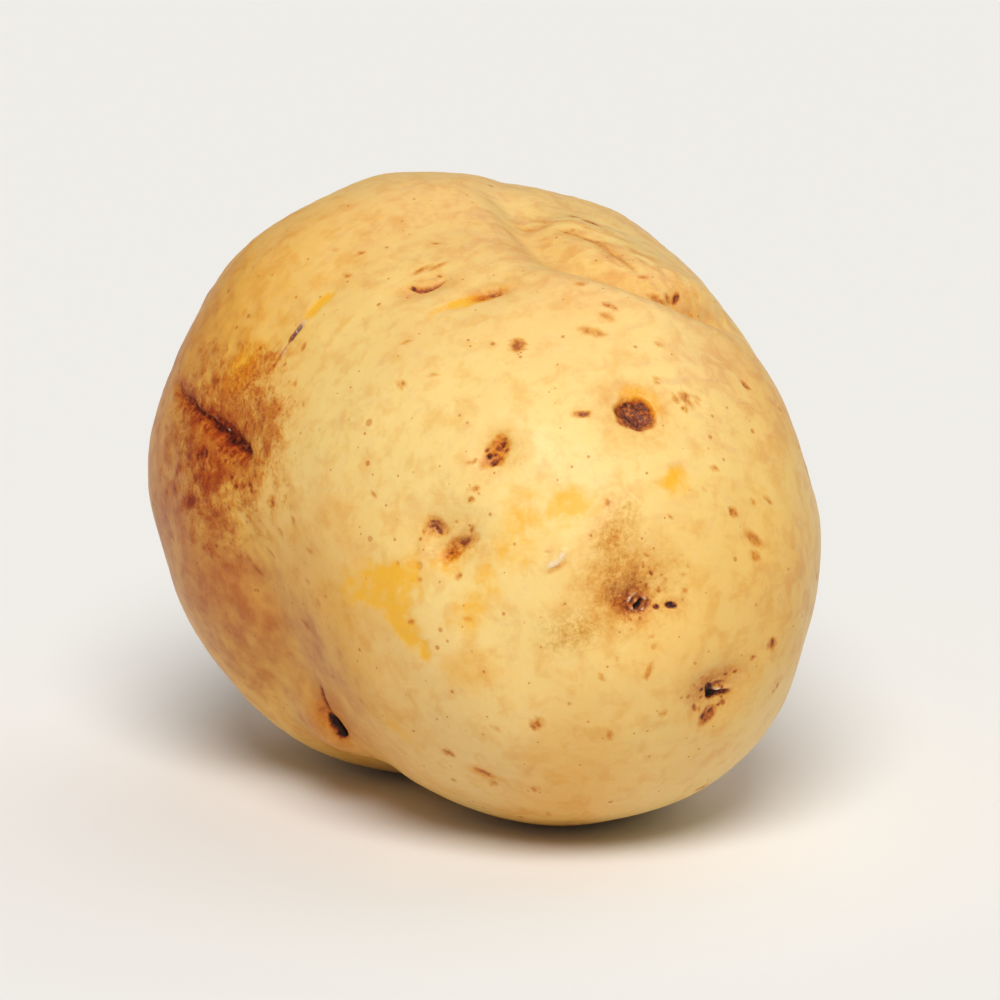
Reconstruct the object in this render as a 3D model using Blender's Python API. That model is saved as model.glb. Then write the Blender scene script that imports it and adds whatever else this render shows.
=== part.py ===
"""A washed, pale-skinned potato, one solid piece, lying on the small flattened spot of its underside.

The long axis runs along X. The rose end, where the eyes crowd together, is at +X, and the heel end, where the
tuber hung from its stolon, is at -X. Five lobes run together into the form: heel, rose, the flank and the belly
that join them, and a shoulder that bulges up and to +Y with a fold along its edge. Z = 0 is the resting face.
"""

import math
from collections import namedtuple

import bmesh
import bpy
from mathutils import Vector, noise

# Driving dimensions, in metres. The core is the point on the long axis that everything is measured from.
LENGTH = 0.0900  # heel end to rose end
CORE_TO_ROSE_END = 0.0475
HEEL_RADII = Vector((0.0310, 0.03225, 0.03425))  # along X, Y and Z, like the other radii
HEEL_LEAN = (0.0, -0.0005)  # how far the lobe's centre stands off the long axis, along Y and Z
ROSE_RADII = Vector((0.0325, 0.02925, 0.0295))
ROSE_LEAN = (0.0025, -0.00475)
FLANK_GAPS = (0.00875, 0.00375)  # how far short of the heel end and the rose end this lobe stops
FLANK_RADII = (0.03075, 0.02675)  # along Y and Z: its length comes from its gaps
FLANK_LEAN = (0.0020, 0.0045)
BELLY_GAPS = (0.0135, 0.0125)
BELLY_RADII = (0.0230, 0.0294)
BELLY_LEAN = (0.0080, -0.0050)
SHOULDER_RADII = Vector((0.0250, 0.0175, 0.0220))
SHOULDER_CENTRE = Vector((-0.01075, 0.01775, 0.0065))
LOBE_BLEND = 18  # the higher it is, the tighter the fold where two lobes meet

UNEVENNESS = 0.0007  # most that the growing tuber swells or shrinks off its lobes
UNEVENNESS_FREQUENCY = 3.1  # waves of it on a sphere of radius 1
RESTING_PRESS = 0.0009  # how deep the underside is flattened where the potato lay

# Places on the skin are two angles in degrees: the angle at the core from the rose end, and the turn about the
# long axis, from +Y through +Z.
FOLD_PATH = ((98, 78), (85, 81), (72, 82), (62, 78), (57, 70), (56, 60), (58, 49), (64, 41))
FOLD_WIDTH = 0.0046
FOLD_DEPTH = 0.0017

# An eye is a hollow with its bud. width runs across the tuber and reach runs along it.
Eye = namedtuple("Eye", "from_rose around width reach depth")
EYES = (
    Eye(3, -164, 0.0100, 0.0090, 0.0016),  # the tip cluster
    Eye(19, -59, 0.0060, 0.0050, 0.0013),
    Eye(26, 86, 0.0048, 0.0046, 0.0008),
    Eye(31, 134, 0.0046, 0.0042, 0.0008),
    Eye(31, 165, 0.0078, 0.0046, 0.0012),
    Eye(41, -121, 0.0054, 0.0042, 0.0006),
    Eye(48, 12, 0.0076, 0.0048, 0.0013),
    Eye(59, 103, 0.0080, 0.0046, 0.0008),
    Eye(71, 112, 0.0058, 0.0042, 0.0008),
    Eye(76, -132, 0.0072, 0.0046, 0.0014),
    Eye(78, -38, 0.0078, 0.0048, 0.0013),
    Eye(98, 161, 0.0060, 0.0110, 0.0009),  # the scabbed one
    Eye(112, 34, 0.0080, 0.0048, 0.0014),
    Eye(124, -80, 0.0072, 0.0046, 0.0010),
    Eye(138, 118, 0.0068, 0.0046, 0.0010),
)
HEEL_SCAR = Eye(176, 60, 0.0110, 0.0110, 0.0022)  # the dimple that the stolon left

GRID = 30  # squares along each side of the cube that the skin's mesh starts from
SKIN_COLOUR = (0.80, 0.60, 0.27, 1.0)
SKIN_ROUGHNESS = 0.42


def direction(from_rose, around):
    """The unit vector from the core at these two angles, in degrees."""
    polar, turn = math.radians(from_rose), math.radians(around)
    return Vector((math.cos(polar), math.sin(polar) * math.cos(turn), math.sin(polar) * math.sin(turn)))


def lobe_between(start, stop, lean, radii):
    """(centre, radii) of a lobe on the long axis that runs from start to stop."""
    return Vector(((start + stop) / 2, *lean)), Vector(((stop - start) / 2, *radii))


def lobes():
    """(centre, radii) of each ellipsoid."""
    rose_end = CORE_TO_ROSE_END
    heel_end = rose_end - LENGTH
    return (
        (Vector((heel_end + HEEL_RADII.x, *HEEL_LEAN)), HEEL_RADII),
        (Vector((rose_end - ROSE_RADII.x, *ROSE_LEAN)), ROSE_RADII),
        lobe_between(heel_end + FLANK_GAPS[0], rose_end - FLANK_GAPS[1], FLANK_LEAN, FLANK_RADII),
        lobe_between(heel_end + BELLY_GAPS[0], rose_end - BELLY_GAPS[1], BELLY_LEAN, BELLY_RADII),
        (SHOULDER_CENTRE, SHOULDER_RADII),
    )


def reach_of_lobe(ray, centre, radii):
    """How far from the core a ray leaves an ellipsoid, or 0 if it misses it."""
    scaled_ray = Vector(r / s for r, s in zip(ray, radii))
    scaled_centre = Vector(c / s for c, s in zip(centre, radii))
    a = scaled_ray.length_squared
    b = scaled_ray.dot(scaled_centre)
    crossing = b * b - a * (scaled_centre.length_squared - 1)
    return max(0.0, (b + math.sqrt(crossing)) / a) if crossing > 0 else 0.0


def form_radius(ray):
    """The lobes run together, with the unevenness of a grown thing."""
    reaches = [reach_of_lobe(ray, centre, radii) for centre, radii in lobes()]
    largest = max(reaches)
    joined = largest * sum((reach / largest) ** LOBE_BLEND for reach in reaches) ** (1 / LOBE_BLEND)
    return joined + UNEVENNESS * noise.noise(ray * UNEVENNESS_FREQUENCY)


def hollow(eye, ray, radius):
    """How deep the skin lies under the form at this ray because of one eye."""
    centre = direction(eye.from_rose, eye.around)
    if ray.dot(centre) < 0.5:
        return 0.0
    offset = (ray - centre) * radius
    to_rose = Vector((1, 0, 0))
    across = centre.cross(to_rose).normalized()
    along = across.cross(centre)
    u = 2 * offset.dot(across) / eye.width
    v = 2 * offset.dot(along) / eye.reach
    return eye.depth * math.exp(-u * u - v * v)


def fold(ray, radius):
    """How deep the crease in front of the shoulder is at this ray. It fades out at both ends."""
    points = [direction(*place) for place in FOLD_PATH]
    nearest = math.inf
    for start, stop in zip(points, points[1:]):
        run = stop - start
        share = min(1.0, max(0.0, (ray - start).dot(run) / run.length_squared))
        nearest = min(nearest, (ray - start - run * share).length)
    return FOLD_DEPTH * math.exp(-((2 * nearest * radius / FOLD_WIDTH) ** 2))


def skin_radius(ray):
    radius = form_radius(ray)
    eyes = sum(hollow(eye, ray, radius) for eye in (*EYES, HEEL_SCAR))
    return radius - eyes - fold(ray, radius)


def ball_mesh():
    """A ball of even squares with no poles: a cube's grid blown out to a sphere of radius 1."""
    bm = bmesh.new()
    bmesh.ops.create_cube(bm, size=2)
    bmesh.ops.subdivide_edges(bm, edges=bm.edges[:], cuts=GRID - 1, use_grid_fill=True)
    for vert in bm.verts:
        eased = Vector(math.tan(c * math.pi / 4) for c in vert.co)
        vert.co = eased.normalized()
    return bm


def press_flat(bm):
    """Cuts the underside off RESTING_PRESS above its lowest point and closes it with the resting face."""
    floor = min(vert.co.z for vert in bm.verts) + RESTING_PRESS
    cut = bmesh.ops.bisect_plane(
        bm,
        geom=bm.verts[:] + bm.edges[:] + bm.faces[:],
        plane_co=(0, 0, floor),
        plane_no=(0, 0, 1),
        clear_inner=True,
    )
    rim = [item for item in cut["geom_cut"] if isinstance(item, bmesh.types.BMEdge)]
    bmesh.ops.holes_fill(bm, edges=rim, sides=0)


def stand_at_origin(bm):
    """Moves the potato so that the origin is under the middle of its outline, at the resting face."""
    low = Vector(min(vert.co[axis] for vert in bm.verts) for axis in range(3))
    high = Vector(max(vert.co[axis] for vert in bm.verts) for axis in range(3))
    middle = (low + high) / 2
    bmesh.ops.translate(bm, verts=bm.verts[:], vec=(-middle.x, -middle.y, -low.z))


def skin_material():
    material = bpy.data.materials.new("potato_skin")
    material.use_nodes = True
    shader = material.node_tree.nodes["Principled BSDF"]
    shader.inputs["Base Color"].default_value = SKIN_COLOUR
    shader.inputs["Roughness"].default_value = SKIN_ROUGHNESS
    shader.inputs["Metallic"].default_value = 0.0
    material.diffuse_color = SKIN_COLOUR
    return material


def build_potato():
    bm = ball_mesh()
    for vert in bm.verts:
        vert.co = vert.co * skin_radius(vert.co)
    press_flat(bm)
    stand_at_origin(bm)
    bmesh.ops.recalc_face_normals(bm, faces=bm.faces[:])
    mesh = bpy.data.meshes.new("potato")
    bm.to_mesh(mesh)
    bm.free()
    mesh.shade_smooth()
    mesh.materials.append(skin_material())
    potato = bpy.data.objects.new("potato", mesh)
    bpy.context.scene.collection.objects.link(potato)


def clear_scene():
    for obj in list(bpy.data.objects):
        bpy.data.objects.remove(obj)


clear_scene()
build_potato()
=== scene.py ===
# A washed, pale-skinned potato lying on a pale floor
import math
import random

import bpy
import numpy as np
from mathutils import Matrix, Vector, noise
from mathutils.bvhtree import BVHTree


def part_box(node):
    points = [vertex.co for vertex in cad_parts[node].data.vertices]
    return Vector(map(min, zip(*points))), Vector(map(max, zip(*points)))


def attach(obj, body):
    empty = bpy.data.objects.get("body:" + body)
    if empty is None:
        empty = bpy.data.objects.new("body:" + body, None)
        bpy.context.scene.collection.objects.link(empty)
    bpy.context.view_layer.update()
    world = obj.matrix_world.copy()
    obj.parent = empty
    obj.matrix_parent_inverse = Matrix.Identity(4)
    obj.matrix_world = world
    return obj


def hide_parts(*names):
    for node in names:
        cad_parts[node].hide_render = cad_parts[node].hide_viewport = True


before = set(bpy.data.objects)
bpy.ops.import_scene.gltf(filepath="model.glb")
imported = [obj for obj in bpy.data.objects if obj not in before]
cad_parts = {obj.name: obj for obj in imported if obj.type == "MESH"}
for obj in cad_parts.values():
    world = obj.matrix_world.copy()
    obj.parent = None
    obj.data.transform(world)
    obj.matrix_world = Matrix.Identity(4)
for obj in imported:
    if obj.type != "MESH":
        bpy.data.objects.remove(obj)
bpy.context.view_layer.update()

mm = 0.001
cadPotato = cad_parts["potato"]

# Places on the skin are two angles in degrees, seen from the core: the angle from the rose end (+X), and the
# turn about the long axis from +Y through +Z. Right and up on the skin are as seen from outside.
potato = {
    "core": Vector((-2.83, -1.67, 34.17)) * mm,
    "uphill": Vector((-0.40, 0.20, 0.89)),  # what up leans towards on every part of the skin
    "cageSquares": 24,  # along each side of the cube that the cage starts from
    "fineLevels": 2,
    "lumps": ((14.0, 0.38), (6.0, 0.13), (2.6, 0.035)),  # wavelength and height, in mm
    "seed": 7,
}


def deselectAll():
    bpy.ops.object.select_all(action="DESELECT")


def direction(fromRose, around):
    polar, turn = math.radians(fromRose), math.radians(around)
    return Vector((math.cos(polar), math.sin(polar) * math.cos(turn), math.sin(polar) * math.sin(turn)))


cadPolygons = [tuple(p.vertices) for p in cadPotato.data.polygons]
cadTree = BVHTree.FromPolygons([v.co for v in cadPotato.data.vertices], cadPolygons)


def onSkin(fromRose, around):
    # the point of the frame's solid that the core sees in that direction, and its normal
    ray = direction(fromRose, around)
    point, normal, _, _ = cadTree.ray_cast(potato["core"] + ray * 0.2, -ray)
    return point, normal


def makeCage():
    # a cube cut into squares, blown out to a ball, and wrapped on the frame's solid
    print("cage")
    low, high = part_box("potato")
    deselectAll()
    bpy.ops.mesh.primitive_cube_add(size=2, location=(0, 0, 0))
    cage = bpy.context.active_object
    cage.name = "potatoSkin"
    layOutSides(cage.data)
    bpy.ops.object.mode_set(mode="EDIT")
    bpy.ops.mesh.select_all(action="SELECT")
    bpy.ops.mesh.subdivide(number_cuts=potato["cageSquares"] - 1)
    bpy.ops.object.mode_set(mode="OBJECT")
    for vert in cage.data.vertices:
        vert.co = Vector(math.tan(c * math.pi / 4) for c in vert.co).normalized()
    bpy.ops.object.mode_set(mode="EDIT")
    bpy.ops.transform.resize(value=(high - low) / 2)
    bpy.ops.transform.translate(value=(low + high) / 2)
    bpy.ops.object.mode_set(mode="OBJECT")
    wrap = cage.modifiers.new("wrap", "SHRINKWRAP")
    wrap.target = cadPotato
    wrap.wrap_method = "PROJECT"
    wrap.use_negative_direction = True
    bpy.ops.object.modifier_apply(modifier="wrap")
    return cage


def layOutSides(mesh):
    # the six sides of the cube side by side in one map, three across and two up
    mesh.uv_layers[0].name = "OFBake"
    corners = ((0, 0), (1, 0), (1, 1), (0, 1))
    gap = 0.006
    for side, polygon in enumerate(mesh.polygons):
        for corner, loop in zip(corners, polygon.loop_indices):
            across = (side % 3 + gap * 3 + corner[0] * (1 - gap * 6)) / 3
            up = (side // 3 + gap * 2 + corner[1] * (1 - gap * 4)) / 2
            mesh.uv_layers[0].data[loop].uv = (across, up)


def refine(cage, places):
    # cuts the squares near these places in four, so that the fine levels there are finer
    spots = [(onSkin(*place)[0], radius * mm) for place, radius in places]
    mesh = cage.data
    for items in (mesh.vertices, mesh.edges, mesh.polygons):
        items.foreach_set("select", [False] * len(items))
    for polygon in mesh.polygons:
        polygon.select = any((polygon.center - point).length < radius for point, radius in spots)
    bpy.ops.object.mode_set(mode="EDIT")
    bpy.ops.mesh.select_mode(type="FACE")
    bpy.ops.mesh.subdivide(number_cuts=1)
    bpy.ops.object.mode_set(mode="OBJECT")


def smoothOut(cage):
    fine = cage.modifiers.new("fine", "SUBSURF")
    fine.levels = fine.render_levels = potato["fineLevels"]
    bpy.ops.object.modifier_apply(modifier="fine")


class Skin:
    # the fine mesh as arrays, so that one touch moves and paints many points at once
    paints = ("bruise", "rubbed", "flake", "scab", "green", "golden", "blush", "pale")

    def __init__(self, mesh):
        self.mesh = mesh
        count = len(mesh.vertices)
        flat = np.empty(count * 3)
        mesh.vertices.foreach_get("co", flat)
        self.points = flat.reshape(-1, 3)
        flat = np.empty(count * 3)
        mesh.vertex_normals.foreach_get("vector", flat)
        self.normals = flat.reshape(-1, 3)
        self.lift = np.zeros(count)
        self.paint = {name: np.zeros(count) for name in self.paints}
        self.ragged = self.noiseAt(1.4)
        self.wavy = self.noiseAt(5.0)

    def noiseAt(self, wavelength):
        return np.array([noise.noise(Vector(p) / (wavelength * mm)) for p in self.points])

    def lumps(self):
        for wavelength, height in potato["lumps"]:
            self.lift += height * mm * self.noiseAt(wavelength)

    def lay(self, weight, lift, paints):
        self.lift += lift * mm * weight
        for name, strength in paints.items():
            self.paint[name] = np.maximum(self.paint[name], strength * weight)

    def finish(self):
        settled = np.clip(self.points[:, 2] / (4 * mm), 0, 1)  # the resting face stays as it is
        moved = self.points + self.normals * (self.lift * settled)[:, None]
        moved[:, 2] = np.maximum(moved[:, 2], 0.0)
        self.mesh.vertices.foreach_set("co", moved.ravel())
        for name, values in self.paint.items():
            layer = self.mesh.attributes.new(name, "FLOAT", "POINT")
            layer.data.foreach_set("value", values)
        self.mesh.update()


def fade(distance, edge):
    # 1 inside, 0 outside, with a soft step of this width about distance 1
    t = np.clip((1 + edge - distance) / (2 * edge), 0, 1)
    return t * t * (3 - 2 * t)


class Place:
    # one place on the skin, to be touched: raised or sunk, and painted. Lengths are in mm
    def __init__(self, skin, fromRose, around):
        self.skin = skin
        self.point, self.normal = onSkin(fromRose, around)
        uphill = potato["uphill"]
        self.up = (uphill - self.normal * self.normal.dot(uphill)).normalized()
        self.right = self.up.cross(self.normal)
        offset = skin.points - np.array(self.point)
        self.u = offset @ np.array(self.right) / mm
        self.v = offset @ np.array(self.up) / mm
        self.w = offset @ np.array(self.normal) / mm

    def touch(self, right=0, up=0, long=1, wide=1, turn=0, bend=0, lift=0,
              edge=0.5, ragged=0.15, wavy=0, **paints):
        c, s = math.cos(math.radians(turn)), math.sin(math.radians(turn))
        u, v = self.u - right, self.v - up
        along, across = u * c + v * s, v * c - u * s
        across = across - bend * along * along / long
        distance = np.sqrt((along / long) ** 2 + (across / wide) ** 2 + (self.w / (long + wide)) ** 2)
        distance = distance + ragged * self.skin.ragged + wavy * self.skin.wavy
        self.skin.lay(fade(distance, edge), lift, paints)


def stroke(skin, places, wide, lift=0, edge=0.8, ragged=0.2, **paints):
    # a touch drawn along the skin through these places, thinning out at both ends
    points = [np.array(onSkin(*place)[0]) for place in places]
    steps = len(points) - 1
    nearest = np.full(len(skin.points), np.inf)
    share = np.zeros(len(skin.points))
    for i, (start, stop) in enumerate(zip(points, points[1:])):
        run = stop - start
        t = np.clip((skin.points - start) @ run / (run @ run), 0, 1)
        reach = np.linalg.norm(skin.points - start - t[:, None] * run, axis=1)
        closer = reach < nearest
        nearest[closer] = reach[closer]
        share[closer] = (i + t[closer]) / steps
    taper = np.clip(np.minimum(share, 1 - share) * 5, 0, 1) ** 0.5
    distance = nearest / mm / (wide * (0.25 + 0.75 * taper)) + ragged * skin.ragged
    skin.lay(fade(distance, edge) * (0.2 + 0.8 * taper), lift, paints)


# The marks of the front


def crumbs(at, spread, count, size, dark, seed, middle=(0, 0)):
    # a sprinkle of small dark grains round the middle
    dice = random.Random(seed)
    for _ in range(count):
        right = middle[0] + dice.gauss(0, spread[0])
        up = middle[1] + dice.gauss(0, spread[1])
        grain = size * dice.uniform(0.6, 1.4)
        stain = dark * dice.uniform(0.7, 1.2)
        stretch = dice.uniform(1, 2)
        at.touch(right, up, grain * stretch, grain, dice.uniform(0, 180), lift=-0.05, edge=0.6, bruise=stain)


def pitEye(skin):
    # a round, dark red pit with a golden rim over it
    at = Place(skin, 26, 86)
    at.touch(long=3.8, wide=3.4, lift=-0.25, edge=0.9, bruise=0.13)
    at.touch(right=0.5, up=1.3, long=2.3, wide=1.9, turn=-30, lift=0.12, edge=0.6, rubbed=0.85)
    at.touch(right=-1.8, up=0.3, long=0.7, wide=1.3, edge=0.7, rubbed=0.6)
    at.touch(long=2.2, wide=1.9, turn=-25, lift=-0.6, edge=0.35, ragged=0.3, bruise=0.72)
    at.touch(right=-0.4, up=-0.3, long=1.3, wide=0.9, turn=-35, lift=-0.15, ragged=0.3, bruise=0.80)
    at.touch(right=0.4, up=-0.9, long=0.9, wide=0.5, turn=20, lift=-0.1, bruise=0.80)
    at.touch(right=-0.9, up=1.3, long=0.7, wide=0.35, turn=40, bruise=0.85)
    at.touch(right=2.5, up=-0.4, long=0.9, wide=0.4, turn=80, lift=0.1, flake=0.45)
    side = Place(skin, 29, 68)
    side.touch(long=2.4, wide=1.3, turn=-30, edge=0.9, blush=0.8)
    crumbs(side, (0.8, 0.6), 7, 0.32, 0.36, 3)


def tiltedEye(skin):
    # a leaning oval of dark grains on gold
    at = Place(skin, 31, 134)
    at.touch(long=3.4, wide=2.4, turn=48, lift=-0.32, edge=0.9, bruise=0.12)
    at.touch(long=2.2, wide=1.3, turn=48, lift=-0.2, edge=0.5, ragged=0.3, bruise=0.36, rubbed=0.6)
    for right, up, size, dark in (
        (0.7, 0.95, 0.36, 0.8), (1.0, 0.3, 0.25, 0.7), (0.2, 0.5, 0.3, 0.7), (-0.2, -0.15, 0.25, 0.6),
        (-0.9, -0.35, 0.36, 0.75), (-0.35, -1.15, 0.42, 0.85), (0.35, -0.6, 0.25, 0.7),
        (-1.15, 0.35, 0.22, 0.6), (0.9, 1.5, 0.22, 0.6),
    ):
        at.touch(right, up, size * 1.4, size, 40, lift=-0.14, edge=0.5, bruise=dark)
    at.touch(right=-0.6, up=0.2, long=0.9, wide=0.3, turn=50, lift=0.2, flake=0.3)
    at.touch(right=-3.0, up=-5.3, long=0.45, wide=0.38, turn=20, lift=-0.08, bruise=0.72)
    crumbs(at, (0.5, 1.5), 8, 0.20, 0.36, 5, middle=(-2.9, -4.4))
    at.touch(right=-2.8, up=-3.2, long=3.4, wide=0.9, turn=62, edge=0.9, flake=0.28)


def doubleEye(skin):
    # two brown scales side by side, with rubbed skin running down from them
    at = Place(skin, 32, 164.4)
    at.touch(long=4.8, wide=2.9, turn=-12, lift=-0.4, edge=0.9, bruise=0.10, flake=0.2)
    at.touch(right=-1.5, up=0.9, long=1.3, wide=1.1, turn=-10, lift=-0.22, edge=0.7, ragged=0.3, bruise=0.4)
    at.touch(right=-1.2, up=0.7, long=0.7, wide=0.28, turn=-50, lift=-0.15, bruise=0.78)
    at.touch(right=-1.9, up=1.1, long=0.5, wide=0.25, turn=20, lift=-0.12, bruise=0.72)
    at.touch(right=-1.5, up=1.6, long=0.7, wide=0.2, turn=-5, bruise=0.55)
    at.touch(right=0.7, up=-2.5, long=2.4, wide=1.5, turn=30, edge=0.7, ragged=0.4, rubbed=0.7)
    at.touch(right=1.4, up=-1.0, long=2.5, wide=0.95, turn=32, bend=-0.1, lift=-0.32, edge=0.6,
             ragged=0.4, bruise=0.42)
    at.touch(right=1.9, up=-0.7, long=1.1, wide=0.5, turn=20, lift=-0.25, edge=0.6, ragged=0.3, bruise=0.72)
    at.touch(right=2.9, up=0.6, long=0.8, wide=0.3, turn=60, lift=-0.1, bruise=0.5)
    at.touch(right=0.2, up=-1.7, long=0.6, wide=0.35, turn=20, lift=-0.1, bruise=0.55)
    at.touch(right=0.9, up=0.3, long=2.3, wide=0.5, turn=30, lift=0.25, edge=0.8, flake=0.42)
    crumbs(at, (2.4, 1.4), 9, 0.2, 0.34, 11)


def tipCluster(skin):
    # the rose end's own bud cluster: a dimple with crusts and grains, in a brown-green shade
    at = Place(skin, 3, -164)
    at.touch(long=6.5, wide=5.0, turn=30, lift=-0.3, edge=0.9, green=0.3)
    at.touch(right=-2.2, up=1.4, long=5.2, wide=4.2, turn=50, edge=0.95, bruise=0.2, green=0.30)
    at.touch(right=-2.0, up=1.2, long=3.2, wide=2.6, turn=50, edge=0.95, bruise=0.34)
    at.touch(right=-3.6, up=6.2, long=3.6, wide=2.6, turn=80, edge=0.95, bruise=0.13, green=0.45)
    at.touch(right=-1.1, up=-0.2, long=2.3, wide=1.9, turn=20, lift=-0.4, edge=0.8, ragged=0.3, bruise=0.50)
    at.touch(right=-1.9, up=-0.6, long=1.4, wide=0.9, turn=0, edge=0.8, rubbed=0.4)
    at.touch(right=-7.6, up=-4.2, long=3.6, wide=2.4, turn=20, edge=0.95, green=0.5)
    at.touch(right=-2.4, up=10.0, long=2.4, wide=1.9, edge=0.95, green=0.42)
    at.touch(right=-0.1, up=-0.7, long=1.5, wide=1.0, turn=20, lift=-0.1, edge=0.4, ragged=0.3, bruise=0.62)
    for right, up, long, turn, strength in (
        (-0.9, -0.2, 0.6, 70, 0.8), (-0.5, 0.35, 0.4, 20, 0.6), (0.7, 0.0, 0.35, -40, 0.6),
        (-0.5, -1.2, 0.45, -30, 0.75), (0.6, -1.2, 0.3, 50, 0.6), (-0.2, -0.35, 0.3, 60, 0.7),
    ):
        at.touch(right, up, long, 0.24, turn, lift=0.3, edge=0.7, ragged=0.4, flake=strength)
    at.touch(right=0.1, up=-0.75, long=0.75, wide=0.26, turn=58, lift=-0.5, edge=0.35, ragged=0.1, bruise=1.3)
    at.touch(right=2.1, up=-0.9, long=0.35, wide=0.3, lift=-0.15, bruise=0.95)
    at.touch(right=3.8, up=-0.6, long=0.75, wide=0.42, lift=-0.2, edge=0.4, ragged=0.2, bruise=1.05)
    at.touch(right=3.8, up=-0.6, long=1.6, wide=1.0, edge=0.9, bruise=0.16)
    crumbs(at, (0.6, 1.7), 14, 0.20, 0.62, 21, middle=(-0.1, 3.6))
    crumbs(at, (2.4, 3.0), 34, 0.18, 0.42, 22, middle=(-1.6, 3.0))
    crumbs(at, (4.5, 5.0), 34, 0.17, 0.30, 23, middle=(1.0, 2.0))


def underEye(skin):
    # low on the right: a dark mouth with a crust over it, and a ringed spot below
    at = Place(skin, 19, -59)
    at.touch(long=4.4, wide=3.2, lift=-0.35, edge=0.95, bruise=0.14)
    at.touch(right=-1.2, up=1.1, long=3.2, wide=2.0, turn=40, edge=0.95, bruise=0.30)
    at.touch(right=-0.7, up=0.1, long=1.1, wide=0.5, turn=-40, lift=-0.35, edge=0.5, ragged=0.3, bruise=0.9)
    at.touch(right=1.0, up=-0.1, long=1.3, wide=0.42, turn=24, lift=-0.35, edge=0.6, ragged=0.4, bruise=0.8)
    at.touch(right=0.1, up=-0.55, long=0.7, wide=0.45, lift=-0.3, edge=0.4, bruise=1.1)
    at.touch(right=0.3, up=0.45, long=0.8, wide=0.34, turn=15, lift=0.3, edge=0.8, ragged=0.4, flake=0.55)
    at.touch(right=1.5, up=0.6, long=0.7, wide=0.25, turn=30, lift=0.2, edge=0.8, ragged=0.4, flake=0.5)
    at.touch(right=-0.1, up=1.2, long=0.9, wide=0.25, turn=20, bruise=0.6)
    at.touch(right=-2.0, up=0.0, long=0.4, wide=0.35, lift=-0.1, bruise=0.85)
    at.touch(right=-1.5, up=-0.9, long=0.3, wide=0.3, lift=-0.1, bruise=0.8)
    crumbs(at, (1.8, 1.4), 16, 0.24, 0.55, 31)
    spot = Place(skin, 21.9, -65)
    spot.touch(long=1.3, wide=1.05, turn=60, lift=-0.1, edge=0.5, ragged=0.3, bruise=0.52, rubbed=0.5)
    spot.touch(right=-0.5, up=-0.3, long=0.5, wide=0.28, turn=70, lift=-0.12, bruise=0.85)
    spot.touch(right=0.4, up=0.5, long=0.5, wide=0.25, turn=50, lift=-0.1, bruise=0.8)
    spot.touch(right=0.1, up=-0.8, long=0.4, wide=0.25, turn=0, bruise=0.7)


def mouthEye(skin):
    # a black slit with a thin tail, in the valley between heel and rose lobe, which is filled out a little
    Place(skin, 82, -130).touch(long=4.5, wide=4.5, edge=0.95, ragged=0, lift=2.6)
    Place(skin, 76, -132).touch(long=5, wide=3.5, edge=0.95, bruise=0.14)
    # painted shade: a brown stroke darkening the valley along the slit
    shade = ((79, -139), (77.5, -136), (76.6, -132.5), (76.4, -130), (75.5, -127.5))
    stroke(skin, shade, wide=1.9, lift=-0.2, bruise=0.32)
    slit = ((77.6, -135.6), (76.8, -132.6), (76.5, -130.2), (75.8, -128.4))
    stroke(skin, slit, wide=1.15, lift=-0.6, edge=0.4, bruise=1.3)
    stroke(skin, ((75, -143), (76.2, -139), (77.4, -135.5)), wide=0.4, lift=-0.15, bruise=0.6)
    stroke(skin, ((78.8, -133.5), (78.4, -130.5), (77.5, -128)), wide=0.7, lift=0.25, bruise=0.26)
    Place(skin, 67, -142).touch(long=4, wide=2.4, edge=0.95, rubbed=0.3, golden=0.5)


def scabbedEye(skin):
    # a long grey split in a rough russet scab
    at = Place(skin, 98, 163)
    at.touch(long=10.5, wide=9.0, turn=-20, edge=0.95, ragged=0.35, wavy=0.35, scab=0.80)
    at.touch(right=-0.5, up=0.8, long=6.0, wide=4.6, turn=-25, lift=-0.2, edge=0.9,
             ragged=0.5, wavy=0.5, scab=0.95)
    at.touch(right=-2.5, up=-4.2, long=3.2, wide=1.8, turn=10, edge=0.8,
             ragged=0.5, wavy=0.4, scab=0.95, bruise=0.3)
    at.touch(right=4.6, up=-3.6, long=3.2, wide=2.2, turn=-40, edge=0.9, ragged=0.4, scab=0.7)
    at.touch(right=2.4, up=3.2, long=2.4, wide=1.4, turn=60, edge=0.9, ragged=0.5, scab=0.6)
    crumbs(at, (3.6, 3.2), 34, 0.42, 0.55, 41)
    crumbs(at, (5.5, 5.0), 30, 0.30, 0.42, 42)
    split = ((121, 157), (112, 159), (105, 160.5), (97, 162), (87, 164))
    stroke(skin, split, wide=1.3, lift=-0.25, bruise=0.42)
    upper = ((119, 157.5), (110, 159.5), (103, 160.8))
    stroke(skin, upper, wide=0.5, lift=-0.3, edge=0.6, ragged=0.4, bruise=0.62)
    lower = ((106, 160.3), (97, 162), (86.5, 164))
    stroke(skin, lower, wide=0.75, lift=-0.6, edge=0.7, ragged=0.5, bruise=0.74)
    for place, long, turn in (
        ((108, 159), 0.9, -40), ((103, 160), 1.1, -45), ((92, 163), 0.9, -40), ((99, 161), 0.8, -30),
        ((88, 164), 0.6, 20),
    ):
        Place(skin, *place).touch(long=long, wide=0.24, turn=turn, lift=0.3, edge=0.8, ragged=0.4, flake=0.45)
    gold = Place(skin, 99, 149)
    gold.touch(long=3.2, wide=2.2, turn=60, edge=0.9, wavy=0.4, rubbed=0.75)


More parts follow.
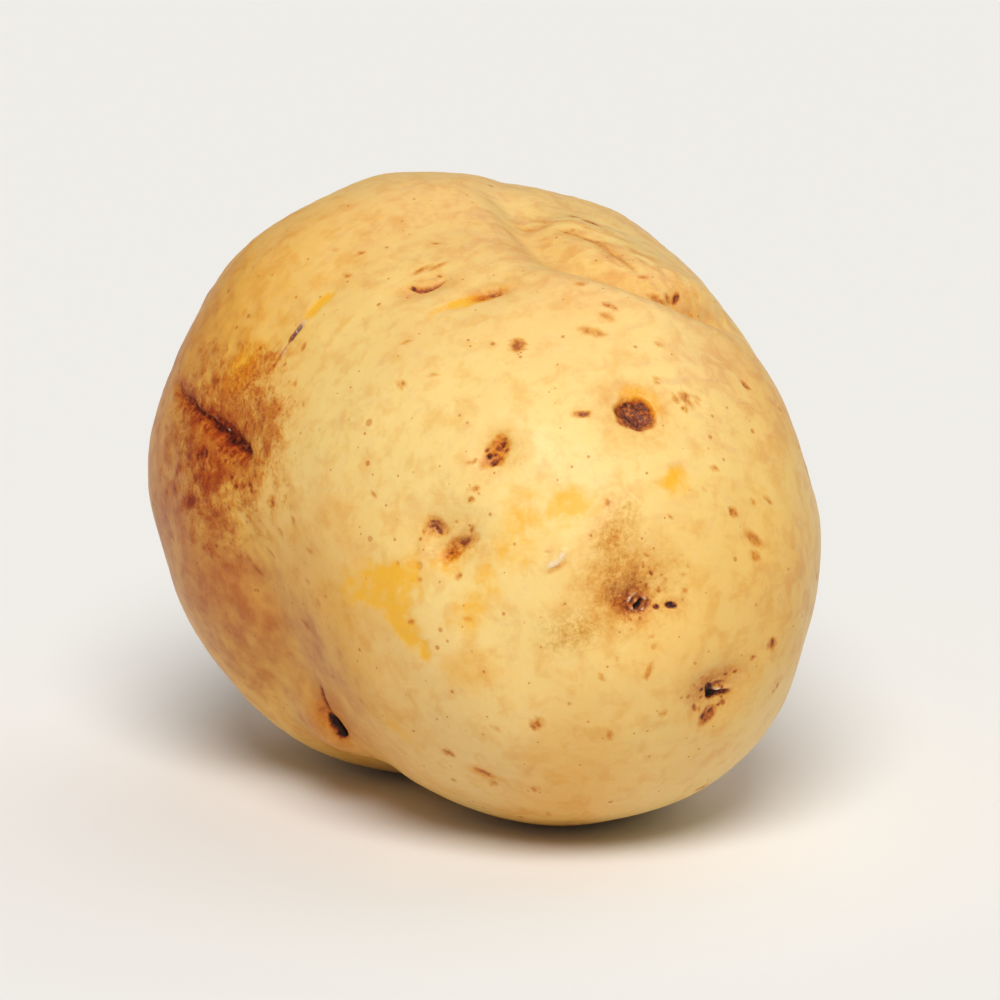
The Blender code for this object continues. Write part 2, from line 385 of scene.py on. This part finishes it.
def smileEye(skin):
    at = Place(skin, 71, 112)
    at.touch(long=3.2, wide=1.6, lift=-0.25, edge=0.9, bruise=0.10)
    at.touch(up=-0.9, long=2.6, wide=0.6, turn=4, edge=0.8, blush=0.7)
    at.touch(long=1.9, wide=0.36, turn=6, bend=0.35, lift=-0.3, edge=0.6, ragged=0.3, bruise=0.62)
    at.touch(right=-0.2, up=-0.2, long=0.7, wide=0.3, turn=0, lift=-0.1, bruise=0.8)
    at.touch(right=-1.6, up=0.4, long=0.5, wide=0.25, turn=-30, bruise=0.7)
    at.touch(up=0.9, long=2.2, wide=0.5, turn=6, bend=0.3, lift=0.18)
    at.touch(right=-1.0, up=3.4, long=1.2, wide=0.3, turn=35, lift=-0.05, edge=0.8, bruise=0.34)
    at.touch(right=0.9, up=3.8, long=1.0, wide=0.3, turn=30, lift=-0.05, edge=0.8, bruise=0.30)


def streakEye(skin):
    # a brown bud at the end of a golden graze
    at = Place(skin, 59, 103)
    at.touch(right=0.4, up=0.5, long=2.6, wide=1.4, turn=15, edge=0.9, blush=1.0, bruise=0.14)
    at.touch(right=-3.0, up=-1.3, long=3.6, wide=0.9, turn=22, lift=-0.1, edge=0.7, ragged=0.4, rubbed=0.95)
    at.touch(right=-0.4, up=-0.1, long=1.9, wide=0.8, turn=18, lift=-0.2, edge=0.8, ragged=0.3, bruise=0.34)
    at.touch(right=0.4, up=0.1, long=0.8, wide=0.5, turn=12, lift=-0.2, edge=0.7, ragged=0.3, bruise=0.56)
    at.touch(right=0.8, up=1.3, long=2.2, wide=0.8, turn=15, lift=0.18, edge=0.9)


def scratch(skin):
    stroke(skin, ((88.5, 125), (89.5, 133)), wide=0.8, lift=-0.08, rubbed=1.0)
    stroke(skin, ((88.5, 131), (89.5, 137), (89.5, 144)), wide=0.8, edge=0.9, flake=0.5, lift=0.06)
    stroke(skin, ((89.2, 134), (89.5, 139)), wide=0.34, lift=-0.2, edge=0.5, bruise=1.0)
    stroke(skin, ((89.5, 139), (89.5, 146)), wide=0.22, lift=-0.05, bruise=0.45)


def shoulderFold(skin):
    # a broad crease round the front of the shoulder, with a lip before it and fine wrinkles beside it; the
    # crease is painted darker as painted shade and the lip paler as a painted highlight
    crease = (
        (118, 68), (108, 74), (99, 78), (91, 80), (84, 81), (74, 83), (66, 82), (60, 78), (57, 72),
        (56, 64), (56, 56), (58, 48), (64, 40),
    )
    stroke(skin, crease, wide=3.6, edge=0.95, ragged=0.1, lift=-0.9)
    # painted shade: the crease's valley darkened with the brown stain colour
    stroke(skin, crease[6:], wide=1.4, edge=0.9, lift=-0.35, bruise=0.16)
    stroke(skin, crease[3:], wide=4.0, edge=0.95, bruise=0.07)
    stroke(skin, ((56, 60), (57, 51), (60, 43)), wide=2.2, edge=0.95, lift=-0.55)
    lip = ((62, 92), (55, 86), (51, 78), (49, 68), (49, 58), (50, 49), (55, 40))
    stroke(skin, lip, wide=3.4, edge=0.95, ragged=0.1, lift=0.55)
    # painted highlight: the lip's crest painted paler
    stroke(skin, lip, wide=2.6, edge=0.95, pale=0.7)
    Place(skin, 114, 88).touch(long=22, wide=17, edge=0.95, lift=0.9)
    bulge = ((92, 66), (80, 64), (70, 58), (68, 50), (72, 40))
    stroke(skin, bulge, wide=6, edge=0.95, ragged=0.1, lift=0.8)
    second = ((84, 75), (80, 73), (75, 70), (68, 68), (63, 66))
    stroke(skin, second, wide=1.6, edge=0.95, lift=-0.35, bruise=0.12)
    stroke(skin, second, wide=0.5, lift=-0.1, bruise=0.26)
    dice = random.Random(51)
    for _ in range(19):
        along = dice.uniform(0, 1)
        fromRose, around = 90 - 34 * along + dice.uniform(-9, 9), 80 - 28 * along + dice.uniform(-6, 6)
        length = dice.uniform(2, 6)
        end = (fromRose - length * 0.6, around - length)
        path = ((fromRose + length, around + 2), (fromRose, around), end)
        wide, lift = dice.uniform(0.3, 0.6), dice.uniform(-0.09, 0.09)
        stroke(skin, path, wide=wide, lift=lift, bruise=dice.uniform(0, 0.16))
    for place, long, wide, turn, dark in (
        ((76, 70), 1.3, 0.4, -25, 0.34), ((70, 68), 1.0, 0.35, -25, 0.34), ((58, 62), 1.3, 0.42, -20, 0.42),
        ((59, 59), 0.7, 0.3, -30, 0.4), ((59, 51), 0.8, 0.3, -40, 0.26), ((62, 65), 0.7, 0.25, -10, 0.3),
    ):
        Place(skin, *place).touch(0, 0, long, wide, turn, lift=-0.12, edge=0.7, ragged=0.3, bruise=dark)


def rubbedPatches(skin):
    # where the thin skin has come off and the flesh is a deeper yellow
    for place, long, wide, turn, strength in (
        ((43, -178), 4.8, 2.4, -4, 1.0),
        ((47, -177), 1.6, 1.4, 10, 1.0),
        ((39, -168), 3.0, 1.6, -58, 1.0),
        ((36, -161), 1.4, 0.8, -80, 0.9),
        ((17, 130), 2.8, 1.9, 15, 0.85),
        ((16, 75), 1.6, 1.7, 80, 0.9),
        ((24, 176), 2.4, 1.5, -60, 0.6),
        ((28, -172), 3.8, 2.0, 40, 0.5),
        ((22, 158), 5.5, 3.2, 70, 0.45),
        ((50, -140), 3.0, 1.4, -70, 0.4),
    ):
        at = Place(skin, *place)
        at.touch(0, 0, long, wide, turn, lift=-0.05, edge=0.8, ragged=0.4, wavy=0.5, rubbed=strength)


def frayedSkin(skin):
    # loose shreds of skin, pale and a little lilac, round the rubbed patches
    fleck = Place(skin, 15.6, 161)
    fleck.touch(right=0.1, up=-0.6, long=1.2, wide=0.3, turn=30, edge=0.8, bruise=0.26)
    fleck.touch(long=1.4, wide=0.5, turn=38, lift=0.25, edge=0.8, ragged=0.5, flake=0.85)
    fleck.touch(right=0.8, up=0.8, long=0.6, wide=0.3, turn=60, lift=0.15, ragged=0.4, flake=0.8)
    for place, long, wide, strength in (
        ((37, 175), 2.4, 2.4, 0.34), ((36, -158), 2.2, 1.6, 0.34), ((31, -165), 3.4, 2.4, 0.30),
        ((20, 125), 3.0, 1.6, 0.32), ((14, 75), 2.4, 1.8, 0.34), ((41, 142), 3.2, 2.4, 0.34),
        ((54, 147), 2.4, 2.0, 0.34), ((24, 178), 3.0, 2.6, 0.28), ((30, 148), 3.4, 2.4, 0.28),
        ((12, 100), 3.0, 2.0, 0.28), ((46, 170), 3.0, 2.0, 0.24), ((60, 150), 3.0, 3.0, 0.2),
    ):
        Place(skin, *place).touch(long=long, wide=wide, lift=0.04, edge=0.9, ragged=0.5, flake=strength)


def smallMarks(skin):
    for place, long, wide, turn, dark in (
        ((44, 108), 0.85, 0.75, 80, 0.55),
        ((42, 89), 1.3, 0.5, -15, 0.32),
        ((45, 84), 0.8, 0.4, -20, 0.30),
        ((47, 82), 0.8, 0.4, -20, 0.42),
        ((28, 105), 1.0, 0.34, 5, 0.72),
        ((22, -29), 0.55, 0.55, 0, 0.66),
        ((17, 17), 1.3, 0.6, -20, 0.36),
        ((16, 10), 0.6, 0.4, 10, 0.42),
        ((16, 36), 0.6, 0.4, -40, 0.5),
        ((20, 30), 0.5, 0.3, 20, 0.4),
        ((23, 25), 0.5, 0.3, -10, 0.4),
        ((41, -122), 1.2, 0.45, -40, 0.55),
        ((43, -131), 0.6, 0.45, -30, 0.5),
        ((26, -129), 0.9, 0.4, 40, 0.55),
        ((42, -118), 0.5, 0.4, 0, 0.38),
        ((37, -112), 0.5, 0.35, 0, 0.36),
        ((53, 134), 0.5, 0.4, 0, 0.34),
        ((76, 171), 0.5, 0.3, 80, 0.4),
        ((104, 178), 1.2, 0.7, 20, 0.5),
        ((30, -40), 0.9, 0.28, 80, 0.42),
        ((11, -100), 1.1, 0.3, 80, 0.3),
    ):
        Place(skin, *place).touch(0, 0, long, wide, turn, lift=-0.08, edge=0.6, ragged=0.3, bruise=dark)
    halo = Place(skin, 41, -122)
    halo.touch(long=2.0, wide=1.0, turn=-40, edge=0.9, rubbed=0.6, bruise=0.16)
    ring = Place(skin, 17, 17)
    ring.touch(long=1.9, wide=1.3, turn=-20, edge=0.9, blush=0.9)
    at = Place(skin, 30, -152)
    at.touch(up=1.0, long=3.4, wide=2.6, edge=0.5, ragged=0.35, wavy=0.3, golden=0.34)
    at.touch(up=-1.4, long=3.0, wide=0.5, edge=0.7, blush=0.6)


# The far side's marks, of the same kinds


def plainEye(skin, fromRose, around, size, turn, seed):
    # a brow over a shallow hollow, with a bud and its stain
    at = Place(skin, fromRose, around)
    at.touch(long=3.8 * size, wide=2.4 * size, turn=turn, lift=-0.35, edge=0.95, bruise=0.15)
    at.touch(up=1.0 * size, long=3.0 * size, wide=0.6 * size, turn=turn, bend=-0.2, lift=0.3, edge=0.9)
    at.touch(0, 0, 1.8 * size, 0.45 * size, turn, -0.25, lift=-0.4, edge=0.5, ragged=0.3, bruise=0.78)
    at.touch(up=-0.5 * size, long=0.9 * size, wide=0.5 * size, turn=turn, lift=0.3, edge=0.5,
             bruise=0.45, flake=0.3)
    at.touch(right=1.2 * size, up=-0.6 * size, long=0.4, wide=0.3, lift=-0.1, bruise=0.8)
    crumbs(at, (1.6 * size, 1.2 * size), 12, 0.26, 0.5, seed)


def farEyes(skin):
    for fromRose, around, size, turn in (
        (48, 12, 1.0, 10),
        (78, -38, 1.1, -15),
        (112, 34, 1.15, 5),
        (124, -80, 1.0, 20),
        (138, 118, 0.9, -10),
    ):
        plainEye(skin, fromRose, around, size, turn, fromRose)


def stolonScar(skin):
    # the dry brown dimple at the heel end
    at = Place(skin, 176, 60)
    at.touch(long=6.0, wide=5.5, lift=-0.4, edge=0.95, bruise=0.16, green=0.3)
    at.touch(long=2.6, wide=2.3, lift=-0.9, edge=0.6, ragged=0.4, bruise=0.5, scab=0.8)
    at.touch(long=1.1, wide=0.9, lift=0.6, edge=0.5, ragged=0.4, bruise=0.9)
    at.touch(right=0.3, up=0.2, long=0.5, wide=0.3, lift=0.2, flake=0.7)
    for step in range(9):
        turn = step * 40 + 7 * math.sin(step * 2.3)
        right, up = 4.0 * math.cos(math.radians(turn)), 4.0 * math.sin(math.radians(turn))
        at.touch(right, up, 2.2, 0.3, turn, lift=-0.1, edge=0.8, bruise=0.22)
    crumbs(at, (3.0, 3.0), 26, 0.28, 0.5, 61)


def broadTones(skin):
    # deeper and more orange over the heel's near side, a painted shade; pinkish round the shoulder, painted
    # shade in the crease's valley and a painted sheen towards the upper-right edge; palest on top, a painted
    # highlight
    # golden paint: painted shade, deeper and more orange over the heel's near side, and a milder golden tone
    # at the other places
    for place, long, wide, strength in (
        ((112, -178), 20, 16, 1.0),
        ((98, -158), 16, 16, 1.0),
        ((128, 168), 24, 20, 0.9),
        ((140, -140), 30, 24, 0.7),
        ((70, -148), 17, 12, 0.8),
        ((88, -130), 14, 8, 0.75),
        ((105, 150), 14, 12, 0.5),
        ((45, -100), 22, 6, 0.4),
        ((22, -15), 18, 14, 0.40),
        ((46, 32), 16, 10, 0.35),
    ):
        Place(skin, *place).touch(0, 0, long, wide, 40, edge=0.95, wavy=0.1, golden=strength)
    # blush paint round the shoulder: painted shade in the crease's valley and a painted sheen towards the
    # upper-right edge
    for place, long, wide, strength in (
        ((85, 85), 12, 8, 0.7),
        ((60, 60), 14, 9, 0.6),
        ((38, 45), 12, 7, 0.7),
        ((70, 20), 16, 12, 0.5),
        ((100, 60), 16, 12, 0.5),
        ((30, -10), 10, 5, 0.5),
        ((97, 95), 12, 7, 0.5),
    ):
        Place(skin, *place).touch(0, 0, long, wide, edge=0.95, wavy=0.4, blush=strength)
    # pale paint: palest on top and over the front's broad highlight, a painted highlight, and paler skin at
    # the other places
    for place, long, wide, strength in (
        ((40, 128), 14, 10, 0.95),
        ((62, 118), 14, 11, 0.6),
        ((102, 92), 24, 14, 1.0),
        ((78, 62), 20, 14, 0.7),
        ((44, 82), 10, 8, 0.4),
        ((28, -150), 10, 8, 0.4),
        ((120, 60), 24, 20, 0.6),
        ((60, 0), 14, 14, 0.4),
        ((90, -60), 20, 16, 0.4),
    ):
        Place(skin, *place).touch(0, 0, long, wide, edge=0.95, wavy=0.3, pale=strength)


def scatter(skin):
    # small dashes and dots all over, smaller and fainter on the front, and grazes on the far side
    dice = random.Random(potato["seed"])
    for _ in range(150):
        fromRose = math.degrees(math.acos(dice.uniform(-1, 1)))
        around = dice.uniform(-180, 180)
        far = -110 < around < 75 and fromRose > 25
        size = dice.uniform(0.18, 0.5) if far else dice.uniform(0.15, 0.34)
        dark = dice.uniform(0.25, 0.7) if far else dice.uniform(0.2, 0.42)
        at = Place(skin, fromRose, around)
        long, turn = size * dice.uniform(1, 2.6), dice.uniform(0, 180)
        at.touch(0, 0, long, size, turn, lift=-0.05, edge=0.6, bruise=dark)
    for _ in range(14):
        fromRose = dice.uniform(60, 170)
        around = dice.uniform(-110, 60)
        long, turn = dice.uniform(1.5, 4), dice.uniform(0, 180)
        at = Place(skin, fromRose, around)
        at.touch(0, 0, long, long * 0.4, turn, lift=-0.05, edge=0.6, ragged=0.4, wavy=0.5, rubbed=0.9)
        at.touch(up=long * 0.5, long=long, wide=long * 0.6, turn=turn, edge=0.9, ragged=0.5, flake=0.34)


def sculpt(cage):
    print("marks")
    skin = Skin(cage.data)
    skin.lumps()
    for mark in (
        shoulderFold, broadTones, pitEye, tiltedEye, doubleEye, tipCluster, underEye, mouthEye, scabbedEye,
        smileEye, streakEye, scratch, rubbedPatches, frayedSkin, smallMarks, farEyes, stolonScar, scatter,
    ):
        mark(skin)
    skin.finish()


# The skin's material


class Wire:
    # a socket that does sums: 1 - mask adds a Math node
    def __init__(self, tree, socket=None):
        self.tree = tree
        self.socket = socket

    def node(self, kind, settings=None, inputs=None, output=0):
        made = self.tree.nodes.new(kind)
        for name, value in (settings or {}).items():
            if name == "stops":
                for index, (position, colour) in enumerate(value):
                    elements = made.color_ramp.elements
                    stop = elements[index] if index < 2 else elements.new(position)
                    stop.position, stop.color = position, (*colour, 1)
            else:
                setattr(made, name, value)
        for name, value in (inputs or {}).items():
            if isinstance(value, Wire):
                self.tree.links.new(value.socket, made.inputs[name])
            else:
                made.inputs[name].default_value = value
        return Wire(self.tree, made.outputs[output])

    def math(self, operation, *values):
        return self.node("ShaderNodeMath", {"operation": operation}, dict(enumerate(values)))

    def __add__(self, other):
        return self.math("ADD", self, other)

    def __sub__(self, other):
        return self.math("SUBTRACT", self, other)

    def __rsub__(self, other):
        return self.math("SUBTRACT", other, self)

    def __mul__(self, other):
        return self.math("MULTIPLY", self, other)

    __radd__ = __add__
    __rmul__ = __mul__

    def step(self, low, high):
        # 0 below low, 1 above high, smooth between them, and the other way if high is the lower
        limits = {"Value": self, "From Min": low, "From Max": high}
        return self.node("ShaderNodeMapRange", {"interpolation_type": "SMOOTHSTEP"}, limits)

    def tint(self, factor, colour):
        # this colour blended towards another, which may be a wire
        other = colour if isinstance(colour, Wire) else (*colour, 1)
        return self.node("ShaderNodeMix", {"data_type": "RGBA"}, {0: factor, 6: self, 7: other}, output=2)

    def dyed(self, amount, stops):
        # this colour darkened by a dye, as ink darkens paper. Its stops run from none of it to all
        dye = self.node("ShaderNodeValToRGB", {"stops": stops}, {"Fac": amount})
        settings = {"data_type": "RGBA", "blend_type": "MULTIPLY"}
        return self.node("ShaderNodeMix", settings, {0: 1.0, 6: self, 7: dye}, output=2)


skinColours = {
    "cream": (0.85, 0.540, 0.082),
    "gold": (0.79, 0.395, 0.028),
    # pale: random pale skin, and the colour of the painted highlight on top and along the shoulder's lip
    "pale": (0.86, 0.700, 0.375),
    "tan": (0.74, 0.365, 0.060),
    "blush": (0.70, 0.37, 0.170),
    "rubbed": (0.86, 0.435, 0.012),
    "frayed": (0.74, 0.46, 0.24),
    "flake": (0.84, 0.64, 0.47),
    # golden: a dye towards orange-brown, for the painted shade over the heel's near side and for golden tone
    "golden": (
        (0.0, (1.0, 1.0, 1.0)),
        (0.50, (0.93, 0.71, 0.32)),
        (1.0, (0.60, 0.26, 0.10)),
    ),
    "dots": (
        (0.0, (1.0, 1.0, 1.0)),
        (0.50, (0.74, 0.46, 0.28)),
        (1.0, (0.42, 0.17, 0.11)),
    ),
    "green": (
        (0.0, (1.0, 1.0, 1.0)),
        (1.0, (0.74, 0.58, 0.26)),
    ),
    "scab": (
        (0.0, (1.0, 1.0, 1.0)),
        (0.35, (0.86, 0.62, 0.38)),
        (0.65, (0.76, 0.42, 0.22)),
        (1.0, (0.46, 0.19, 0.14)),
    ),
    "bruise": (
        (0.0, (1.0, 1.0, 1.0)),
        (0.20, (0.87, 0.63, 0.36)),
        (0.45, (0.58, 0.26, 0.13)),
        (0.72, (0.26, 0.080, 0.085)),
        (1.0, (0.032, 0.018, 0.05)),
    ),
}


skinSurface = {
    "Subsurface Weight": 0.25,
    "Subsurface Radius": (0.0030, 0.0014, 0.0005),
    "Subsurface Scale": 1.0,
    "Specular IOR Level": 0.22,
    "Coat Weight": 0.06,
    "Coat Roughness": 0.35,
}


def spots(wire, coords, spacing, size, chance):
    # round spots of uneven size: 1 at a spot's middle. chance is the share of cells that have one
    settings = {"voronoi_dimensions": "3D", "feature": "F1"}
    inputs = {"Vector": coords, "Scale": 1 / (spacing * mm), "Randomness": 1.0}
    made = wire.node("ShaderNodeTexVoronoi", settings, inputs)
    cell = made.socket.node
    distance, colour = Wire(wire.tree, cell.outputs["Distance"]), Wire(wire.tree, cell.outputs["Color"])
    dice = wire.node("ShaderNodeSeparateColor", {}, {"Color": colour})
    green = Wire(wire.tree, dice.socket.node.outputs[1])
    radius = size / spacing * (0.5 + 0.5 * green)
    return (radius - distance).step(0, 0.35 * size / spacing) * dice.step(1 - chance, 1 - chance + 0.02)


def skinMaterial():
    print("skin material")
    material = bpy.data.materials.new("potatoSkin")
    material.use_nodes = True
    tree = material.node_tree
    shader = tree.nodes["Principled BSDF"]
    wire = Wire(tree)
    place = wire.node("ShaderNodeTexCoord", output="Object")
    stretched = wire.node("ShaderNodeVectorMath", {"operation": "MULTIPLY"}, {0: place, 1: (1.0, 0.28, 0.8)})

    def grain(wavelength, detail=3, rough=0.5, distortion=0.0, coords=place):
        inputs = {"Vector": coords, "Scale": 1 / (wavelength * mm), "Detail": detail, "Roughness": rough}
        inputs["Distortion"] = distortion
        return wire.node("ShaderNodeTexNoise", {}, inputs)

    def painted(name):
        return wire.node("ShaderNodeAttribute", {"attribute_name": name}, output="Fac")

    broad, patchy, blotch = grain(30, 2), grain(8, 4, 0.6, 0.4), grain(2.8, 3, 0.6, 0.25)
    fine, tiny, streak = grain(1.3, 3, 0.6, 0.3), grain(0.5, 3, 0.7), grain(1.6, 3, 0.6, 0.5, stretched)
    bruise, rubbed, flake, scab, green, golden, blush, pale = (painted(name) for name in Skin.paints)
    coarse, grit = (fine - 0.5) * 2, (tiny - 0.5) * 2
    wisps = (grain(2.4, 3, 0.55, 1.2) - 0.5).math("ABSOLUTE").step(0.035, 0.0)

    colour = wire.node("ShaderNodeMix", {"data_type": "RGBA"}, {
        0: broad.step(0.40, 0.62) * 0.8,
        6: (*skinColours["cream"], 1),
        7: (*skinColours["gold"], 1),
    }, output=2)
    # random pale patches, and the pale paint, which is a painted highlight on top and along the lip
    paler = (patchy.step(0.45, 0.75) * 0.14 + pale * 0.8).math("MINIMUM", 1.0)
    colour = colour.tint(paler, skinColours["pale"])
    colour = colour.tint(blotch.step(0.46, 0.70) * 0.4, skinColours["tan"])
    # the blush paint: mauve rings round the eyes, and painted shade and sheen round the shoulder
    colour = colour.tint(streak.step(0.50, 0.74) * (0.20 + 0.5 * blush), skinColours["blush"])
    colour = colour.tint(blush * blotch.step(0.40, 0.62) * 0.45, skinColours["blush"])
    colour = colour.tint(fine.step(0.50, 0.36) * 0.08, skinColours["pale"])
    uneven = 0.92 + 0.7 * (patchy - 0.5) + 0.6 * (blotch - 0.5)
    # the golden paint deepens the colour: painted shade over the heel's near side, golden tone elsewhere
    colour = colour.dyed(golden * uneven, skinColours["golden"])

    specks = spots(wire, place, 1.5, 0.24, 0.50)
    small = spots(wire, place, 2.9, 0.40, 0.40)
    middling = spots(wire, place, 6.0, 0.62, 0.35)
    dotted = (specks * 0.6 + small * 0.6 + middling * 0.5) * (0.3 + 0.9 * patchy)
    colour = colour.dyed(dotted, skinColours["dots"])

    worn = rubbed * (1 + 0.7 * coarse + 2.0 * (blotch - 0.5) + 0.4 * grit)
    torn = worn.step(0.05, 0.90)
    colour = colour.tint(torn * 0.85, skinColours["rubbed"])
    colour = colour.tint(worn.step(0.10, 0.2) * worn.step(0.5, 0.3) * wisps * 0.7, skinColours["frayed"])
    dusty = (green * (1 + 1.4 * coarse + 1.6 * grit)).step(0.05, 0.95)
    colour = colour.dyed(dusty, skinColours["green"])
    crumbs = (scab * (1 + 0.9 * coarse + 0.9 * grit + 1.6 * (blotch - 0.5))).step(0.10, 0.85)
    darker = (coarse + grit * 0.8).step(-0.1, 0.55)
    colour = colour.dyed(crumbs * (0.58 + 0.36 * darker), skinColours["scab"])
    stained = bruise * (1 + 0.7 * coarse + 1.1 * grit)
    colour = colour.dyed(stained, skinColours["bruise"])
    shreds = (flake * (1 + 1.2 * grit + 0.8 * coarse)).step(0.35, 0.85)
    colour = colour.tint(shreds * 0.8, skinColours["flake"])
    colour = colour.tint(flake.step(0.05, 0.35) * wisps * 0.55, skinColours["flake"])
    tree.links.new(colour.socket, shader.inputs["Base Color"])

    roughness = 0.34 + 0.16 * patchy + 0.3 * crumbs + 0.2 * shreds - 0.05 * torn + 0.25 * bruise
    tree.links.new(roughness.socket, shader.inputs["Roughness"])

    relief = 0.5 * blotch + 0.5 * fine + 0.2 * tiny + 0.3 * streak + 0.5 * shreds
    relief = relief + 1.2 * crumbs * (fine + tiny)
    relief = relief - 0.3 * small - 0.4 * middling - 0.3 * torn + 0.2 * wisps + 0.9 * bruise * tiny
    bump = wire.node("ShaderNodeBump", {}, {"Strength": 0.6, "Distance": 0.0002, "Height": relief})
    tree.links.new(bump.socket, shader.inputs["Normal"])
    for name, value in skinSurface.items():
        shader.inputs[name].default_value = value
    return material


finePlaces = (  # place and radius in mm, for the first cut
    ((26, 86), 5), ((31, 134), 5), ((32, 165), 6), ((3, -164), 9), ((19, -59), 6), ((76, -132), 6),
    ((98, 161), 11), ((71, 112), 4.5), ((59, 103), 5), ((90, 137), 5), ((43, -178), 6), ((38, -166), 5),
    ((20, 150), 7), ((66, 77), 6), ((57, 58), 6), ((79, 79), 5), ((48, 12), 5), ((78, -38), 5),
    ((112, 34), 5), ((124, -80), 5), ((138, 118), 5), ((176, 60), 7),
)
finerPlaces = (  # and for the second, round the eyes with the finest detail
    ((26, 86), 3), ((31, 134), 3.2), ((32, 165), 3.8), ((3, -164), 4.5), ((19, -59), 3.5),
    ((76, -132), 3.2), ((98, 161), 5), ((71, 112), 2.4),
)


def makePotato():
    cage = makeCage()
    refine(cage, finePlaces)
    refine(cage, finerPlaces)
    smoothOut(cage)
    sculpt(cage)
    bpy.ops.object.shade_smooth()
    cage.data.materials.clear()
    cage.data.materials.append(skinMaterial())
    print("triangles", sum(len(p.vertices) - 2 for p in cage.data.polygons))
    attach(cage, "root")
    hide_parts("potato")


# The floor, the lights and the camera

studio = {
    "floorSize": 8.0,
    "floorColour": (0.82, 0.815, 0.805),
    "worldColour": (1.0, 0.99, 0.97),
    "worldStrength": 0.20,
    "key": {"turn": 0, "elevation": 51, "softness": 32, "strength": 2.88, "colour": (1.0, 0.985, 0.95)},
    "back": {"turn": 140, "elevation": 50, "softness": 60, "strength": 0.65, "colour": (1.0, 0.97, 0.93)},
}
view = {"azimuth": 63.7, "elevation": 15, "distance": 2.0, "lens": 632}


def makeFloor():
    print("floor")
    deselectAll()
    bpy.ops.mesh.primitive_plane_add(size=studio["floorSize"])
    floor = bpy.context.active_object
    floor.name = "floor"
    material = bpy.data.materials.new("floor")
    material.use_nodes = True
    shader = material.node_tree.nodes["Principled BSDF"]
    shader.inputs["Base Color"].default_value = (*studio["floorColour"], 1)
    shader.inputs["Roughness"].default_value = 0.9
    floor.data.materials.append(material)


def sunward(azimuth, elevation):
    a, e = math.radians(azimuth), math.radians(elevation)
    return Vector((math.sin(a) * math.cos(e), -math.cos(a) * math.cos(e), math.sin(e)))


def softLight(name):
    # a far, wide light: turn is from the camera's side, softness how many degrees of the studio it fills
    lit = studio[name]
    light = bpy.data.lights.new(name, "SUN")
    light.angle = math.radians(lit["softness"])
    light.energy = lit["strength"]
    light.color = lit["colour"]
    lamp = bpy.data.objects.new(name, light)
    bpy.context.scene.collection.objects.link(lamp)
    away = sunward(view["azimuth"] + lit["turn"], lit["elevation"])
    lamp.location = away
    lamp.rotation_mode = "QUATERNION"
    lamp.rotation_quaternion = away.to_track_quat("Z", "Y")


def lightUp():
    print("lights")
    softLight("key")
    softLight("back")
    world = bpy.data.worlds.new("studio")
    world.use_nodes = True
    sky = world.node_tree.nodes["Background"]
    sky.inputs["Color"].default_value = (*studio["worldColour"], 1)
    sky.inputs["Strength"].default_value = studio["worldStrength"]
    bpy.context.scene.world = world
    bpy.context.scene.view_settings.view_transform = "Standard"


def placeCamera():
    print("camera")
    camera = bpy.data.objects.new("camera", bpy.data.cameras.new("camera"))
    bpy.context.scene.collection.objects.link(camera)
    camera.data.lens = view["lens"]
    camera.data.clip_start = 0.05
    low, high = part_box("potato")
    back = sunward(view["azimuth"], view["elevation"])
    camera.location = (low + high) / 2 + back * view["distance"]
    camera.rotation_mode = "QUATERNION"
    camera.rotation_quaternion = back.to_track_quat("Z", "Y")
    bpy.context.scene.camera = camera


makePotato()
makeFloor()
lightUp()
placeCamera()
